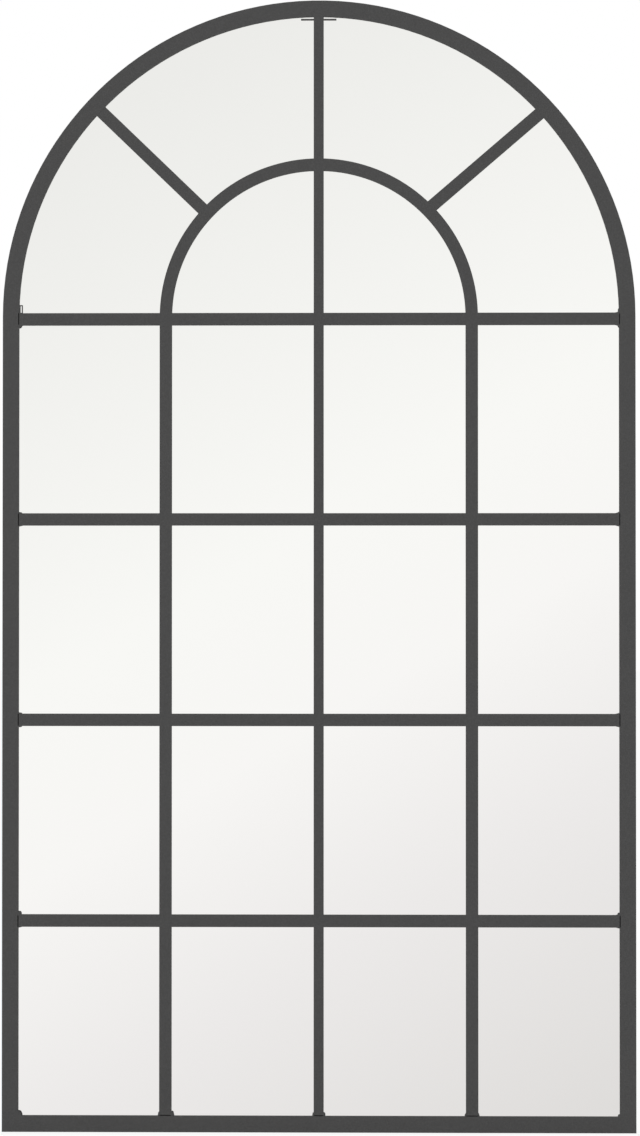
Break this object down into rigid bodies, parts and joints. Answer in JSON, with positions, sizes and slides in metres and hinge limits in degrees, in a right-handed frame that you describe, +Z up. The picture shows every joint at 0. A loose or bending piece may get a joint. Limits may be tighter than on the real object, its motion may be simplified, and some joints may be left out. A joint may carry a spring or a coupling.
{
  "type": "arched window mirror",
  "caption": "Tall arched window-pane mirror: steel angle frame, flush flat-bar grille with a fan head, undivided mirror glass, hardboard back and swinging D-ring hangers.",
  "frame": {"origin": "on the wall plane at the back of the frame, in the middle of its width, at the lower edge of the bottom rail", "axes": "+X to the viewer's right, +Y from the viewer into the wall, +Z up; the mirror faces -Y"},
  "size_m": [1, 0.025, 1.7877],
  "materials": {
    "powder_coat": "matte charcoal powder coat on welded steel",
    "mirror_glass": "polished float glass, silvered on the back",
    "foam_tape": "closed-cell foam tape",
    "setting_rubber": "moulded rubber block",
    "hardboard": "pressed fibre board with a screen-marked back",
    "zinc_steel": "bright zinc plate",
    "rivet_steel": "drawn, plated steel"
  },
  "bodies": {
    "mirror": {"frame_arch": "powder_coat", "frame_stile_left": "powder_coat", "frame_stile_right": "powder_coat", "frame_bottom_rail": "powder_coat", "transom_1": "powder_coat", "transom_2": "powder_coat", "transom_3": "powder_coat", "transom_4": "powder_coat", "left_mullion_1": "powder_coat", "centre_mullion_1": "powder_coat", "right_mullion_1": "powder_coat", "left_mullion_2": "powder_coat", "centre_mullion_2": "powder_coat", "right_mullion_2": "powder_coat", "left_mullion_3": "powder_coat", "centre_mullion_3": "powder_coat", "right_mullion_3": "powder_coat", "left_mullion_4": "powder_coat", "centre_mullion_4": "powder_coat", "right_mullion_4": "powder_coat", "inner_arch": "powder_coat", "centre_mullion_quadrant": "powder_coat", "centre_mullion_fan": "powder_coat", "spoke_left": "powder_coat", "spoke_right": "powder_coat", "top_foot_strips": "powder_coat", "side_foot": "powder_coat", "corner_welds": "powder_coat", "frame_tapes": "foam_tape", "bar_tapes": "foam_tape", "mirror_glass": "mirror_glass", "setting_blocks": "setting_rubber", "backing_board": "hardboard", "retaining_tabs": "powder_coat", "hanger_plate_left": "powder_coat", "hanger_strap_left": "zinc_steel", "hanger_plate_right": "powder_coat", "hanger_strap_right": "zinc_steel", "hanger_rivets": "rivet_steel"},
    "ring_left": {"d_ring_left": "zinc_steel"},
    "ring_right": {"d_ring_right": "zinc_steel"}
  },
  "joints": [
    {"name": "ring_left_swing", "type": "hinge", "parent": "mirror", "child": "ring_left", "pos_m": [-0.47, -0.00642, 1.2108], "axis": [1, 0, 0], "range_deg": [0, 175]},
    {"name": "ring_right_swing", "type": "hinge", "parent": "mirror", "child": "ring_right", "pos_m": [0.47, -0.00642, 1.2108], "axis": [1, 0, 0], "range_deg": [0, 175]}
  ]
}
